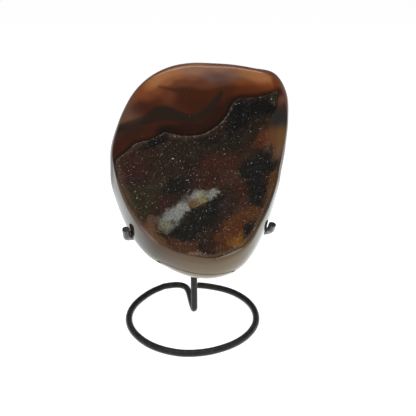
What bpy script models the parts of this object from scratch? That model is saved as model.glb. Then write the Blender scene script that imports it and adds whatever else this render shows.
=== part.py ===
"""Druzy agate on a stand of bent wire.

A polished piece of banded agate leans back in two wire hooks. Its front is ground nearly flat, and a
shallow pocket in that face is lined with a crust of small quartz crystals. The stand is two bent wires:
one makes the ring, the stem and the back rest, the other makes the cross bow with a hook at each end.

Lengths are in metres unless a name ends in _MM. While the pieces are made, the ring's centre is at
x = y = 0 and the table at z = 0. The last step centres the whole thing over the origin.
"""
import math
import random

import bmesh
import bpy
from mathutils import Vector
from mathutils.bvhtree import BVHTree

MM = 0.001
GAP = 0.3 * MM

# Stone: where it stands
FACE_MIDDLE = Vector((13.0, -23.5, 103.7)) * MM
FACE_LEAN = math.radians(16.0)

# Stone: its outlines, as distances from the middle of the face at equal steps round from +X
FACE_RADII_MM = (
    36.2, 39.8, 47.2, 58.8, 67.9, 66.4, 65.5, 67.5, 68.5, 65.9, 61.9, 58.9,
    53.5, 50.4, 48.4, 47.3, 45.7, 44.3, 44.3, 42.7, 40.6, 36.9, 34.5, 34.6)
GIRTH_RADII_MM = (
    39.5, 41.2, 44.8, 49.9, 57.6, 67.1, 72.3, 69.9, 68.7, 68.5, 69.8, 70.9,
    70.8, 69.3, 66.6, 64.3, 62.8, 60.8, 59.7, 58.0, 57.4, 57.7, 58.5, 58.8,
    58.0, 58.5, 58.8, 58.3, 56.7, 53.7, 49.1, 45.2, 42.3, 40.1, 38.7, 38.5)
THICKNESS = 41.0 * MM
GIRTH_DEPTH = 13.0 * MM
GIRTH_DEPTH_SWING = 5.0 * MM
FACE_CROWN = 1.0 * MM
CROWN_POWER = 6
EDGE_START = math.radians(25.0)
BACK_POWER = 0.87
BACK_DRIFT = Vector((-7.0, 5.0)) * MM
STONE_SEGMENTS = 72
FACE_STEPS = (0.5, 0.85, 1.0)
SIDE_STEPS = 7
BACK_STEPS = 9

# Pocket and crust: the outline of the crystals in the plane of the face, clockwise from the left
DRUSE_OUTLINE_MM = (
    (-55.4, 13.4), (-49.6, 18.2), (-43.6, 23.2), (-35.4, 25.2), (-30.0, 28.0), (-26.6, 29.3),
    (-21.0, 27.5), (-12.8, 26.5), (-5.0, 27.5), (2.5, 31.7), (8.2, 37.5), (11.8, 45.0),
    (15.6, 47.5), (24.7, 47.7), (31.4, 49.3), (36.8, 51.6), (36.6, 43.7), (32.6, 35.4),
    (30.9, 27.5), (34.0, 20.4), (37.0, 13.0), (35.6, 2.5), (33.5, -6.0), (29.5, -16.0),
    (24.0, -28.0), (17.4, -36.2), (8.5, -41.0), (-1.0, -43.2), (-11.0, -42.0), (-22.0, -39.0),
    (-31.8, -33.6), (-39.6, -25.6), (-46.1, -16.3), (-51.3, -4.0), (-54.8, 6.0))
OUTLINE_STEPS = 3
POCKET_DEPTH = 2.0 * MM
CRUST_TOP = -0.7 * MM
CRUST_SWELL = 0.15 * MM
SWELL_LENGTH_U = 6.0 * MM
SWELL_LENGTH_V = 8.0 * MM
CRYSTAL_WIDTH = 3.0 * MM
CRYSTAL_HEIGHTS = (0.55 * MM, 1.25 * MM)
CORNER_STRAY = 0.28 * CRYSTAL_WIDTH
TIP_STRAY = 0.2 * CRYSTAL_WIDTH
CRYSTAL_SEED = 7
CUTTER_REACH = 8.0 * MM

# Wires
WIRE_RADIUS = 2.0 * MM
WIRE_SIDES = 10
WIRE_CLEARANCE = 0.5 * MM
WIRE_FLAT = WIRE_RADIUS * math.cos(math.pi / WIRE_SIDES)
RING_RADII_MM = (
    (84, 41.2), (67, 41.0), (44, 42.0), (11, 42.5), (-15, 43.0), (-65, 42.3), (-99, 43.0),
    (-144, 41.9), (-180, 42.1), (-205, 42.3), (-216, 42.7), (-227, 43.6), (-236, 44.5))
RING_STEP = 8
RUN_TO_STEM_MM = (
    (-20.4, 40.2), (-16.3, 41.4), (-12.2, 42.1), (-8.6, 41.6), (-6.0, 39.6), (-4.0, 35.8),
    (-2.4, 30.6), (-1.1, 24.2), (0.0, 18.0), (0.8, 12.6))
STEM_X = 1.7 * MM
STEM_Y = 6.1 * MM
STEM_BEND = 3.2 * MM
BEND_STEPS = 5
STEM_LOW = 42.0 * MM
STEM_TOP = 55.0 * MM
REST_MM = ((10.6, 69.7), (21.0, 104.0))
REST_STEPS = 4

# Cross bow and hooks: the bow lies in a plane that rises to the front, through a point inside the stone
BOW_MIDDLE = Vector((3.0, -13.0, 71.5)) * MM
BOW_SLOPE = math.radians(49.0)
BOW_ROLL = 0.03
BOW_REACH = 80
BOW_STEP = 10
BOW_SEARCH = 0.2
LEFT_HOOK_MM = ((-34.8, -17.5, 70.4), (-36.0, -20.5, 71.4), (-37.0, -23.2, 73.2), (-36.9, -24.8, 77.2))
RIGHT_HOOK_MM = ((44.8, -17.0, 73.0), (46.0, -19.5, 74.4), (47.4, -21.0, 75.8), (49.2, -22.4, 78.0))

# Looks: colour, roughness and how much like metal
AGATE_LOOK = ((0.16, 0.055, 0.022), 0.12, 0.0)
DRUSE_LOOK = ((0.07, 0.045, 0.035), 0.25, 0.0)
WIRE_LOOK = ((0.022, 0.022, 0.02), 0.45, 0.6)


def smooth_through(points, steps, closed=False):
    """Points on a smooth curve that passes through the given ones (Catmull-Rom)."""
    count = len(points)
    spans = count if closed else count - 1
    result = []
    for i in range(spans):
        if closed:
            a, b, c, d = (points[(i + k - 1) % count] for k in range(4))
        else:
            b, c = points[i], points[i + 1]
            a = points[i - 1] if i else b * 2 - c
            d = points[i + 2] if i + 2 < count else c * 2 - b
        for k in range(steps):
            t = k / steps
            result.append(0.5 * ((2 * b) + (c - a) * t + (2 * a - 5 * b + 4 * c - d) * t ** 2
                                 + (3 * b - a - 3 * c + d) * t ** 3))
    if not closed:
        result.append(points[-1].copy())
    return result


def radius_at(radii_mm, angle):
    """Radius in metres at an angle, from values at equal steps around the circle."""
    place = (angle / (2 * math.pi) % 1.0) * len(radii_mm)
    i = int(place)
    t = place - i
    a, b, c, d = (radii_mm[(i + k - 1) % len(radii_mm)] for k in range(4))
    value = 0.5 * (2 * b + (c - a) * t + (2 * a - 5 * b + 4 * c - d) * t ** 2
                   + (3 * b - a - 3 * c + d) * t ** 3)
    return value * MM


def face_height(u, v):
    """The slightly crowned face: its height over the middle, at a point of the face."""
    reach = math.hypot(u, v) / radius_at(FACE_RADII_MM, math.atan2(v, u))
    return -FACE_CROWN * min(reach, 1.0) ** CROWN_POWER


def stone_point(angle, ring):
    """A point of the stone's outside, in the face's own frame, for an angle and a ring number."""
    face = radius_at(FACE_RADII_MM, angle)
    girth = radius_at(GIRTH_RADII_MM, angle)
    depth = GIRTH_DEPTH - GIRTH_DEPTH_SWING * math.sin(angle)
    if ring < len(FACE_STEPS):
        radius = face * FACE_STEPS[ring]
        height = -FACE_CROWN * FACE_STEPS[ring] ** CROWN_POWER
        drift = 0.0
    elif ring < len(FACE_STEPS) + SIDE_STEPS:
        share = (ring - len(FACE_STEPS) + 1) / SIDE_STEPS
        turn = EDGE_START + (math.pi / 2 - EDGE_START) * share
        out = (math.sin(turn) - math.sin(EDGE_START)) / (1 - math.sin(EDGE_START))
        down = 1 - math.cos(turn) / math.cos(EDGE_START)
        radius = face + (girth - face) * out
        height = -FACE_CROWN - (depth - FACE_CROWN) * down
        drift = 0.0
    else:
        share = (ring - len(FACE_STEPS) - SIDE_STEPS + 1) / BACK_STEPS
        turn = math.pi / 2 * share
        radius = girth * max(math.cos(turn), 0.0) ** BACK_POWER
        height = -depth - (THICKNESS - depth) * math.sin(turn) ** BACK_POWER
        drift = math.sin(turn) ** 2
    return Vector((radius * math.cos(angle) + BACK_DRIFT.x * drift,
                   radius * math.sin(angle) + BACK_DRIFT.y * drift, height))


def make_stone():
    """The whole pebble: a sphere's rings moved to the face, the sides and the rounded back."""
    rings = len(FACE_STEPS) + SIDE_STEPS + BACK_STEPS
    bm = bmesh.new()
    bmesh.ops.create_uvsphere(bm, u_segments=STONE_SEGMENTS, v_segments=rings, radius=1.0)
    for vert in bm.verts:
        tilt = math.acos(max(-1.0, min(1.0, vert.co.z)))
        ring = round(tilt / math.pi * rings)
        if ring == 0:
            vert.co = Vector((0.0, 0.0, 0.0))
        else:
            vert.co = stone_point(math.atan2(vert.co.y, vert.co.x), ring - 1)
    return new_object("agate", bm)


def druse_outline(inset=0.0):
    """The crystals' outline, moved inwards by the inset."""
    corners = [Vector(p) * MM for p in DRUSE_OUTLINE_MM]
    points = smooth_through(corners, OUTLINE_STEPS, closed=True)
    moved = []
    for i, point in enumerate(points):
        along = (points[(i + 1) % len(points)] - points[i - 1]).normalized()
        moved.append(point + Vector((along.y, -along.x)) * inset)
    return moved


def make_prism(name, outline, bottom, top):
    """A straight-sided block over an outline, used as a cutter."""
    bm = bmesh.new()
    floor = bm.faces.new([bm.verts.new((p.x, p.y, bottom)) for p in outline])
    sides = bmesh.ops.extrude_face_region(bm, geom=[floor])
    for item in sides["geom"]:
        if isinstance(item, bmesh.types.BMVert):
            item.co.z = top
    bmesh.ops.recalc_face_normals(bm, faces=bm.faces[:])
    return new_object(name, bm)


def make_crust():
    """A slab whose top is a field of low crystal points."""
    random.seed(CRYSTAL_SEED)
    xs = [p[0] for p in DRUSE_OUTLINE_MM]
    ys = [p[1] for p in DRUSE_OUTLINE_MM]
    middle = Vector(((min(xs) + max(xs)) / 2, (min(ys) + max(ys)) / 2)) * MM
    half = max(max(xs) - min(xs), max(ys) - min(ys)) / 2 * MM + CRYSTAL_WIDTH
    cells = round(2 * half / CRYSTAL_WIDTH)
    bm = bmesh.new()
    bmesh.ops.create_grid(bm, x_segments=cells, y_segments=cells, size=half)
    for vert in bm.verts:
        u = vert.co.x + middle.x + random.uniform(-CORNER_STRAY, CORNER_STRAY)
        v = vert.co.y + middle.y + random.uniform(-CORNER_STRAY, CORNER_STRAY)
        swell = CRUST_SWELL * (math.sin(u / SWELL_LENGTH_U) + math.cos(v / SWELL_LENGTH_V))
        vert.co = Vector((u, v, face_height(u, v) + CRUST_TOP + swell))
    top = bm.faces[:]
    slab = bmesh.ops.extrude_face_region(bm, geom=top)
    for item in slab["geom"]:
        if isinstance(item, bmesh.types.BMVert):
            item.co.z = -CUTTER_REACH
    for tip in bmesh.ops.poke(bm, faces=top)["verts"]:
        tip.co.z += random.uniform(*CRYSTAL_HEIGHTS)
        tip.co.x += random.uniform(-TIP_STRAY, TIP_STRAY)
        tip.co.y += random.uniform(-TIP_STRAY, TIP_STRAY)
    bmesh.ops.recalc_face_normals(bm, faces=bm.faces[:])
    return new_object("druse_crust", bm)


def new_object(name, bm):
    """An object that takes over a bmesh."""
    mesh = bpy.data.meshes.new(name)
    bm.to_mesh(mesh)
    bm.free()
    return bpy.data.objects.new(name, mesh)


def cut(piece, cutter, operation):
    """A live Boolean of one piece with a cutter."""
    boolean = piece.modifiers.new(cutter.name, "BOOLEAN")
    boolean.operation = operation
    boolean.solver = "EXACT"
    boolean.object = cutter


def make_wire(name, points):
    """A bent wire with faceted sides, one of which faces straight down on a level run."""
    curve = bpy.data.curves.new(name, "CURVE")
    curve.dimensions = "3D"
    curve.twist_mode = "MINIMUM"
    curve.bevel_depth = WIRE_RADIUS
    curve.bevel_resolution = WIRE_SIDES // 2 - 2
    curve.use_fill_caps = True
    spline = curve.splines.new("POLY")
    spline.points.add(len(points) - 1)
    for spline_point, place in zip(spline.points, points):
        spline_point.co = (*place, 1.0)
    return bpy.data.objects.new(name, curve)


def ring_radius(angle_deg):
    """The hand-bent ring's radius at an angle: nearly round, wider where it turns in."""
    for (first, r0), (last, r1) in zip(RING_RADII_MM, RING_RADII_MM[1:]):
        if angle_deg >= last:
            t = (first - angle_deg) / (first - last)
            return (r0 + (r1 - r0) * t) * MM
    return RING_RADII_MM[-1][1] * MM


def stone_surface(stone):
    """The stone's outside in world places, ready for rays."""
    bm = bmesh.new()
    bm.from_mesh(stone.data)
    bm.transform(stone.matrix_basis)
    bm.normal_update()
    tree = BVHTree.FromBMesh(bm)
    bm.free()
    return tree


def beside(surface, point):
    """The point itself, or where a wire's middle has to be for the wire to clear the stone."""
    near, normal = surface.find_nearest(point)[:2]
    room = point - near
    reach = WIRE_RADIUS + WIRE_CLEARANCE
    if room.dot(normal) < 0 or room.length < reach:
        return near + normal * reach
    return point


def base_path(surface):
    """The ring from its free end, the run to the middle, the stem and the back rest."""
    ring = []
    for angle_deg in range(RING_RADII_MM[0][0], RING_RADII_MM[-1][0], -RING_STEP):
        angle = math.radians(angle_deg)
        ring.append(Vector((math.cos(angle), math.sin(angle), 0.0)) * ring_radius(angle_deg))
    run = smooth_through([Vector((*p, 0.0)) * MM for p in RUN_TO_STEM_MM], 2)
    lift = Vector((0.0, 0.0, WIRE_FLAT))
    flat = [p + lift for p in ring + run]
    foot = Vector((STEM_X, STEM_Y, WIRE_FLAT))
    inward = (foot - flat[-1]).normalized()
    bend = []
    for k in range(BEND_STEPS + 1):
        turn = math.pi / 2 * k / BEND_STEPS
        corner = foot - inward * STEM_BEND
        bend.append(corner + inward * STEM_BEND * math.sin(turn)
                    + Vector((0.0, 0.0, STEM_BEND * (1 - math.cos(turn)))))
    stem = [Vector((STEM_X, STEM_Y, z)) for z in (STEM_LOW, STEM_TOP)]
    stem += [Vector((STEM_X, y * MM, z * MM)) for y, z in REST_MM]
    return flat + bend + [beside(surface, p) for p in smooth_through(stem, REST_STEPS)]


def bow_path(surface):
    """The cross bow: round the back of the stone and out into a hook on each side."""
    hug = []
    back = Vector((0.0, math.cos(BOW_SLOPE), -math.sin(BOW_SLOPE)))
    across = Vector((1.0, 0.0, BOW_ROLL))
    for turn_deg in range(-BOW_REACH, BOW_REACH + 1, BOW_STEP):
        turn = math.radians(turn_deg)
        out = across * math.sin(turn) + back * math.cos(turn)
        hug.append(surface.ray_cast(BOW_MIDDLE + out * BOW_SEARCH, -out)[0])
    left = [Vector(p) * MM for p in reversed(LEFT_HOOK_MM)]
    right = [Vector(p) * MM for p in RIGHT_HOOK_MM]
    return [beside(surface, p) for p in smooth_through(left + hug + right, 2)]


def finish(piece, look, parts):
    """Give a piece its material and put it in the object's collection."""
    colour, roughness, metallic = look
    material = bpy.data.materials.new(piece.name)
    material.use_nodes = True
    shader = material.node_tree.nodes["Principled BSDF"]
    shader.inputs["Base Color"].default_value = (*colour, 1.0)
    shader.inputs["Roughness"].default_value = roughness
    shader.inputs["Metallic"].default_value = metallic
    piece.data.materials.append(material)
    parts.objects.link(piece)


def hide_cutter(cutter, cutters):
    """Keep a cutter out of the model."""
    cutter.hide_render = True
    cutter.display_type = "WIRE"
    cutters.objects.link(cutter)


def centre_over_origin(pieces, holder):
    """Move the holder so that the middle of the whole model's base is the origin."""
    bpy.context.view_layer.update()
    graph = bpy.context.evaluated_depsgraph_get()
    corners = []
    for piece in pieces:
        shape = piece.evaluated_get(graph)
        mesh = bpy.data.meshes.new_from_object(shape)
        corners += [shape.matrix_world @ vert.co for vert in mesh.vertices]
        bpy.data.meshes.remove(mesh)
    low = Vector(min(c[i] for c in corners) for i in range(3))
    high = Vector(max(c[i] for c in corners) for i in range(3))
    holder.location = (-(low.x + high.x) / 2, -(low.y + high.y) / 2, -low.z)
    bpy.context.view_layer.update()


def main():
    for old in list(bpy.data.objects):
        bpy.data.objects.remove(old, do_unlink=True)
    scene = bpy.context.scene
    parts = bpy.data.collections.new("druzy_agate")
    cutters = bpy.data.collections.new("cutters")
    scene.collection.children.link(parts)
    scene.collection.children.link(cutters)
    holder = bpy.data.objects.new("whole", None)
    parts.objects.link(holder)

    stone = make_stone()
    crust = make_crust()
    pocket = make_prism("pocket_cutter", druse_outline(), -POCKET_DEPTH, CUTTER_REACH)
    trim = make_prism("crust_cutter", druse_outline(GAP), -POCKET_DEPTH + GAP, CUTTER_REACH)
    in_face = (stone, crust, pocket, trim)
    for piece in in_face:
        piece.location = FACE_MIDDLE
        piece.rotation_euler = (math.pi / 2 - FACE_LEAN, 0.0, 0.0)
    bpy.context.view_layer.update()
    surface = stone_surface(stone)
    cut(stone, pocket, "DIFFERENCE")
    cut(crust, trim, "INTERSECT")
    base = make_wire("base_wire", base_path(surface))
    bow = make_wire("cradle_wire", bow_path(surface))

    finish(stone, AGATE_LOOK, parts)
    finish(crust, DRUSE_LOOK, parts)
    finish(base, WIRE_LOOK, parts)
    finish(bow, WIRE_LOOK, parts)
    hide_cutter(pocket, cutters)
    hide_cutter(trim, cutters)
    for piece in in_face + (base, bow):
        piece.parent = holder
    centre_over_origin((stone, crust, base, bow), holder)


main()
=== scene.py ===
"""A druzy agate in its stand of blackened wire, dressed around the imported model.

Lengths are in metres unless a name ends in _MM. The stone is modelled in the frame of its ground
face: u runs to the right across the face, v up it, and the third axis out of it to the viewer.
"""

import math
import random

import bmesh
import bpy
from mathutils import Matrix, Vector, kdtree, noise
from mathutils.bvhtree import BVHTree


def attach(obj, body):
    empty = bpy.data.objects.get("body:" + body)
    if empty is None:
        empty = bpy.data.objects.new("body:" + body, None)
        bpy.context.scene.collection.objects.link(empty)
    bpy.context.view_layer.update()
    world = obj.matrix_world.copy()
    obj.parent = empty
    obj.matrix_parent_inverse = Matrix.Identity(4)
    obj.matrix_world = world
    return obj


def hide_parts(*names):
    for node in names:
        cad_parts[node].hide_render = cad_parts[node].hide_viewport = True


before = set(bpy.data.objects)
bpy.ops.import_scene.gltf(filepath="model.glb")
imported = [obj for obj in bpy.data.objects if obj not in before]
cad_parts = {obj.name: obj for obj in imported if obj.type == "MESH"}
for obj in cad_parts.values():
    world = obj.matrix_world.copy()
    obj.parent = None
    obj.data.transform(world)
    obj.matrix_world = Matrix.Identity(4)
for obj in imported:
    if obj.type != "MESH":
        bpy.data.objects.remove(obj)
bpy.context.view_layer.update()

MM = 0.001

# The stand's own middle and the stone's face, in the model's frame
STAND_MIDDLE = Vector((-5.098, 0.366, 0.0)) * MM
FACE_MIDDLE = STAND_MIDDLE + Vector((13.0, -23.5, 103.7)) * MM
FACE_LEAN = math.radians(16.0)
FACE_TILT = math.pi / 2 - FACE_LEAN
ON_FACE = Matrix.Translation(FACE_MIDDLE) @ Matrix.Rotation(FACE_TILT, 4, "X")
FACE_NORMAL = Vector((0.0, -math.sin(FACE_TILT), math.cos(FACE_TILT)))

# Agate: its outlines, as distances from the middle of the face at equal steps round from +X
FACE_RADII_MM = (
    36.7, 39.8, 47.2, 58.8, 67.9, 66.4, 65.5, 67.5, 68.5, 65.9, 61.9, 58.9,
    53.5, 50.4, 48.4, 47.3, 45.7, 44.3, 44.3, 42.7, 40.6, 36.7, 35.2, 35.2)
GIRTH_RADII_MM = (
    39.5, 41.2, 44.8, 49.9, 57.6, 67.1, 72.3, 69.9, 68.7, 68.5, 69.8, 70.9,
    70.8, 69.3, 66.6, 64.3, 62.8, 60.8, 59.7, 58.0, 57.4, 57.7, 58.5, 58.8,
    58.0, 58.5, 58.8, 58.3, 56.7, 53.7, 49.1, 45.2, 42.3, 40.1, 38.7, 38.5)
THICKNESS = 41.0 * MM
GIRTH_DEPTH = 13.0 * MM
GIRTH_DEPTH_SWING = 5.0 * MM
FACE_CROWN = 1.0 * MM
CROWN_POWER = 6
EDGE_START = math.radians(25.0)
BACK_POWER = 0.87
BACK_DRIFT = Vector((-7.0, 5.0)) * MM
STONE_SEGMENTS = 300
FACE_RINGS = 84
SIDE_RINGS = 26
BACK_RINGS = 26
STONE_CREASE = math.radians(35.0)
EDGE_EASE = 4
# The lower side is fuller and the upper edge crisper, each from a sine of the angle and over a span
LOW_FULLNESS = 0.7
LOW_RISE = (0.6, 0.3)
TOP_CRISPNESS = 0.75
TOP_RISE = (0.1, 0.4)

# Crystals: the outline that they fill, clockwise from the left
DRUSE_OUTLINE_MM = (
    (-55.4, 13.4), (-49.6, 18.2), (-43.6, 23.2), (-35.4, 25.2), (-30.0, 28.0), (-26.6, 29.3),
    (-21.0, 27.9), (-12.8, 27.2), (-5.0, 28.4), (2.5, 32.8), (7.9, 38.5), (11.5, 45.5),
    (15.6, 48.2), (24.7, 48.5), (31.4, 50.1), (36.8, 52.0), (36.6, 43.7), (32.6, 35.4),
    (30.9, 27.5), (34.0, 20.4), (37.0, 13.0), (35.6, 2.5), (33.5, -6.0), (29.5, -16.0),
    (24.0, -28.0), (17.4, -36.2), (8.5, -41.0), (-1.0, -43.2), (-11.0, -42.0), (-22.0, -39.0),
    (-31.8, -33.6), (-39.6, -25.6), (-46.1, -16.3), (-51.3, -4.0), (-54.8, 6.0))
WHITE_LINE_COUNT = 16
CELL_STEPS = 3
CUTTER_STEPS = 6
FINE_STEPS = 24
POCKET_DEPTH = 2.0 * MM
CUTTER_TOP = 5 * MM
FLOOR_LIFT = 0.3 * MM
CRYSTAL = 0.43 * MM
CRYSTAL_SEED = 11
BED_TURN = math.radians(43.0)
# The bed that the crystals grow from: how deep it lies, and where its right edge is nearly flush
SLOPE_WIDTH_MM = 5.0
RIM_SINK_MM = 0.25
MIDDLE_SINK_MM = 0.45
FLUSH_MM = 0.2
FLUSH_U_RISE = (20.0, 10.0)
FLUSH_V_RISE = (-20.0, 10.0)
BED_UNEVEN_MM = 0.12
# In parts of a crystal's width: how far the bed's corners stray, and the points' heights and stray
BED_STRAY = 0.33
TIP_HEIGHTS = (0.12, 0.55)
TIP_STRAY = 0.3
# Clear facets, which glint: how many, how clear, and how much fewer they are towards the right
CLEAR_SHARE = 0.041
CLEARNESS = (0.22, 0.95)
CALM_SHARE = 0.4
CALM_RISE = (6.0, 10.0)
SPECKLE = (0.6, 1.53)

# Wires
WIRE_RADIUS = 2.2 * MM
WIRE_CLEARANCE = 0.5 * MM
WIRE_ROUNDNESS = 6
WIRE_CREASE = math.radians(50.0)
SAME_PLACE = 0.01 * MM
CUT_EASE = 0.35 * MM
RING_RADII_MM = (
    (84, 40.8), (67, 40.6), (44, 41.7), (11, 42.5), (-15, 43.0), (-65, 42.3), (-99, 43.0),
    (-144, 41.9), (-180, 42.1), (-205, 42.1), (-216, 42.3), (-227, 43.1), (-236, 44.0))
RING_STEP = 4
RUN_TO_STEM_MM = (
    (-20.4, 39.7), (-16.3, 40.9), (-12.2, 41.6), (-8.6, 41.2), (-5.6, 39.4), (-3.5, 36.0),
    (-2.2, 30.9), (-1.3, 24.5), (-0.5, 18.3), (0.3, 12.6))
RUN_STEPS = 4
STEM_X = 1.5 * MM
STEM_Y = 6.1 * MM
STEM_BEND = 3.2 * MM
BEND_STEPS = 8
STEM_LOW = 42.0 * MM
STEM_TOP = 55.0 * MM
STEM_STEPS = 8
REST_MM = ((10.6, 69.7), (21.0, 104.0))
BOW_MIDDLE = Vector((3.0, -13.0, 71.5)) * MM
BOW_SLOPE = math.radians(49.0)
BOW_ROLL = 0.03
BOW_REACH = 80
BOW_TURN = 10
BOW_STEPS = 4
BOW_SEARCH = 0.2
LEFT_HOOK_MM = (
    (-34.8, -17.5, 70.4), (-36.0, -20.5, 71.4), (-37.0, -23.2, 73.2), (-36.9, -24.8, 77.2))
RIGHT_HOOK_MM = (
    (44.4, -17.0, 73.0), (45.4, -19.5, 74.2), (46.5, -21.0, 75.4), (47.9, -22.4, 77.4))
BEAD_HALVES = Vector((3.3, 2.4, 2.6)) * MM
BEAD_UNEVEN = 0.12
BEAD_LUMPS = 2.0

# Colours of the stone: mostly stains, as they look in even light
# Some tones on the face's top and left edges are partly painted reflection and glow; line_shadow is
# painted shade
TONES = {
    "cocoa": (44, 31, 23), "olive_brown": (38, 32, 23), "maroon": (53, 32, 26),
    "plum": (45, 33, 29), "rust_dark": (58, 33, 23), "rust_pink": (64, 42, 33),
    "rust": (78, 42, 24), "rust_low": (72, 46, 30), "olive": (47, 41, 27),
    "olive_black": (31, 29, 22), "black": (27, 26, 24), "jet": (20, 20, 19), "ash": (78, 78, 73),
    "gold_brown": (82, 54, 30), "gold": (118, 78, 32), "burnt_orange": (82, 47, 25),
    "rust_tan": (96, 67, 44), "pink_brown": (86, 66, 52), "bone": (124, 124, 119),
    "pale_olive": (104, 100, 78), "honey": (92, 72, 48), "cream": (140, 132, 96),
    "straw": (104, 86, 56), "druse_rim": (74, 60, 49), "white_line": (108, 103, 90),
    "body": (70, 37, 24), "tan": (150, 101, 63), "tan_mauve": (132, 95, 76),
    "orange": (118, 65, 36), "mauve_orange": (104, 60, 44), "red_orange": (104, 56, 38),
    "deep_brown": (62, 33, 21), "grey_mauve": (98, 75, 66), "dark_rust": (80, 40, 22),
    "mauve": (97, 69, 56), "dark_red": (60, 33, 25), "under_band": (42, 25, 20),
    "red_brown": (54, 30, 22), "far_left": (52, 39, 32), "dark_olive": (40, 38, 32),
    "mauve_brown": (94, 64, 52), "slate": (43, 41, 39), "amber": (92, 61, 41),
    "olive_amber": (96, 72, 44), "olive_band": (39, 31, 26), "streak": (58, 35, 25),
    "pale_edge": (136, 134, 124), "chip": (138, 122, 108), "rim_tan": (114, 90, 72),
    "pink_tan": (98, 76, 63), "line_shadow": (28, 20, 17), "back_dark": (64, 38, 27),
    "back_tan": (128, 92, 64), "pink_reflection": (152, 110, 90), "warm_brown": (102, 60, 41),
    "orange_brown": (98, 54, 35), "dusk": (88, 64, 55), "dark_orange": (77, 43, 31),
    "warm_tan": (138, 89, 55), "low_tan": (119, 76, 54), "smoke": (78, 50, 40),
    "russet": (122, 68, 40), "deep_russet": (53, 29, 19), "ember": (97, 46, 21),
    "shade": (46, 33, 26), "deep_shade": (31, 24, 20), "back_grey": (118, 108, 98)}
TONE_GAIN = 0.9
# How soft the edges of each kind of patch are, in parts of its size
POLISH_BLUR = 0.6
REFLECTION_BLUR = 0.8
DRUSE_BLUR = 0.4
PALE_BLUR = 0.45
PATCH_REACH = 1.8
# One pattern of stain, the same each run; and layers of smooth noise: place in it, scale per
# millimetre, size
STAIN_SEED = 5
STONE_STRAY = ((0.0, 0.09, 1.0),)
PATCH_STRAY_MM = 1.2
BAND_STRAY_MM = 0.5
DRUSE_STRAY = ((3.0, 0.12, 1.6), (9.0, 0.45, 1.5))
PALE_FRAY = ((6.0, 0.6, 1.3), (4.0, 1.7, 1.1))
DRUSE_CLOUDS = ((8.0, 1.1, 0.22),)
BED_SWELL = ((5.0, 0.25, 0.1),)
LINE_FLOW = ((2.0, 0.13, 0.4),)
LINE_RAGS = ((0.0, 0.7, 1.1), (1.0, 1.9, 0.7))
# The white line: its strength and half width at the left, what the middle adds, and its faint end
LINE_STRENGTH = 0.62
LINE_MIDDLE_STRENGTH = 0.35
LINE_HALF_MM = 0.65
LINE_MIDDLE_HALF_MM = 0.3
LINE_BLUR_MM = 0.8
LINE_MIDDLE_RISE = (-8.0, 6.0)
LINE_FADE = 0.85
LINE_FADE_RISE = (6.0, 8.0)
# The lighter rim of the crystals at the left
RIM_WIDTH_MM = 4.0
RIM_START_MM = 10.0
RIM_SHARE = 0.7
# Where the face's stains give way to the side's: by the share of its radius, and by depth
NEAR_EDGE_RISE = (0.86, 0.12)
SIDE_RISE = (1.0, 1.2)
FAR_SIDE_RISE = (0.9, 2.2)
BACK_RISE = (9.0, 9.0)
# The back's bands close round a point inside the stone
BACK_HEART_MM = Vector((-12.0, 10.0, -34.0))
BACK_WANDER = ((0.05, 9.0), (0.16, 2.2))
FINE_BAND_MM = 3.4
BROAD_BAND_MM = 9.5
BROAD_BAND_START = 1.0
TAN_SHARE = 0.55
GREY_SHARE = 0.7
GREY_CONTRAST = 1.6
GREY_DROP = 0.5
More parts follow.
